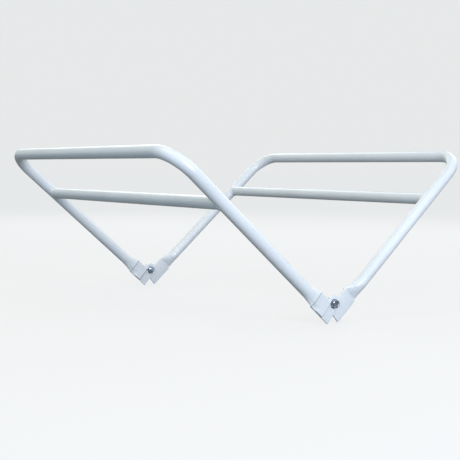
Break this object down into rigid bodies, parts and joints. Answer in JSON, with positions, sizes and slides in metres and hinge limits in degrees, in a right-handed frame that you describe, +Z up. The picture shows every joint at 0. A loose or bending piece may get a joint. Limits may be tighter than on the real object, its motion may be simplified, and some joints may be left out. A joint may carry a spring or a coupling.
{
  "type": "hive body grip",
  "caption": "Two-handed grip for carrying a hive body: two bent tube frames cross under the box, turn on bolts and clamp its sides between two bars.",
  "frame": {"origin": "middle of the four ear tips that the grip stands on, at ground level", "axes": "+X across the frames towards the right hand bar, +Y along the bolts and hand bars towards the back, +Z up"},
  "size_m": [0.6606, 0.6314, 0.2973],
  "materials": {
    "paint": "white powder coat, satin",
    "weld": "white powder coat over a weld bead",
    "zinc": "zinc plated",
    "nylon": "nylon",
    "spacer": "nylon sheet"
  },
  "bodies": {
    "pivots": {"front_pivot_bolt": "zinc", "rear_pivot_bolt": "zinc", "front_ear_spacer": "spacer", "rear_ear_spacer": "spacer", "front_head_washer": "zinc", "rear_head_washer": "zinc", "front_nut_washer": "zinc", "rear_nut_washer": "zinc", "front_lock_nut": "zinc", "rear_lock_nut": "zinc", "front_nut_insert": "nylon", "rear_nut_insert": "nylon"},
    "left_frame": {"left_frame_tube": "paint", "left_clamp_bar": "paint", "left_front_ear": "paint", "left_rear_ear": "paint", "left_bar_welds": "weld", "left_ear_welds": "weld"},
    "right_frame": {"right_frame_tube": "paint", "right_clamp_bar": "paint", "right_front_ear": "paint", "right_rear_ear": "paint", "right_bar_welds": "weld", "right_ear_welds": "weld"}
  },
  "joints": [
    {"name": "left_fold", "type": "hinge", "parent": "pivots", "child": "left_frame", "pos_m": [0, 0, 0.03398], "axis": [0, 1, 0], "range_deg": [-41, 50]},
    {"name": "right_fold", "type": "hinge", "parent": "pivots", "child": "right_frame", "pos_m": [0, 0, 0.03398], "axis": [0, -1, 0], "range_deg": [-41, 50]}
  ]
}
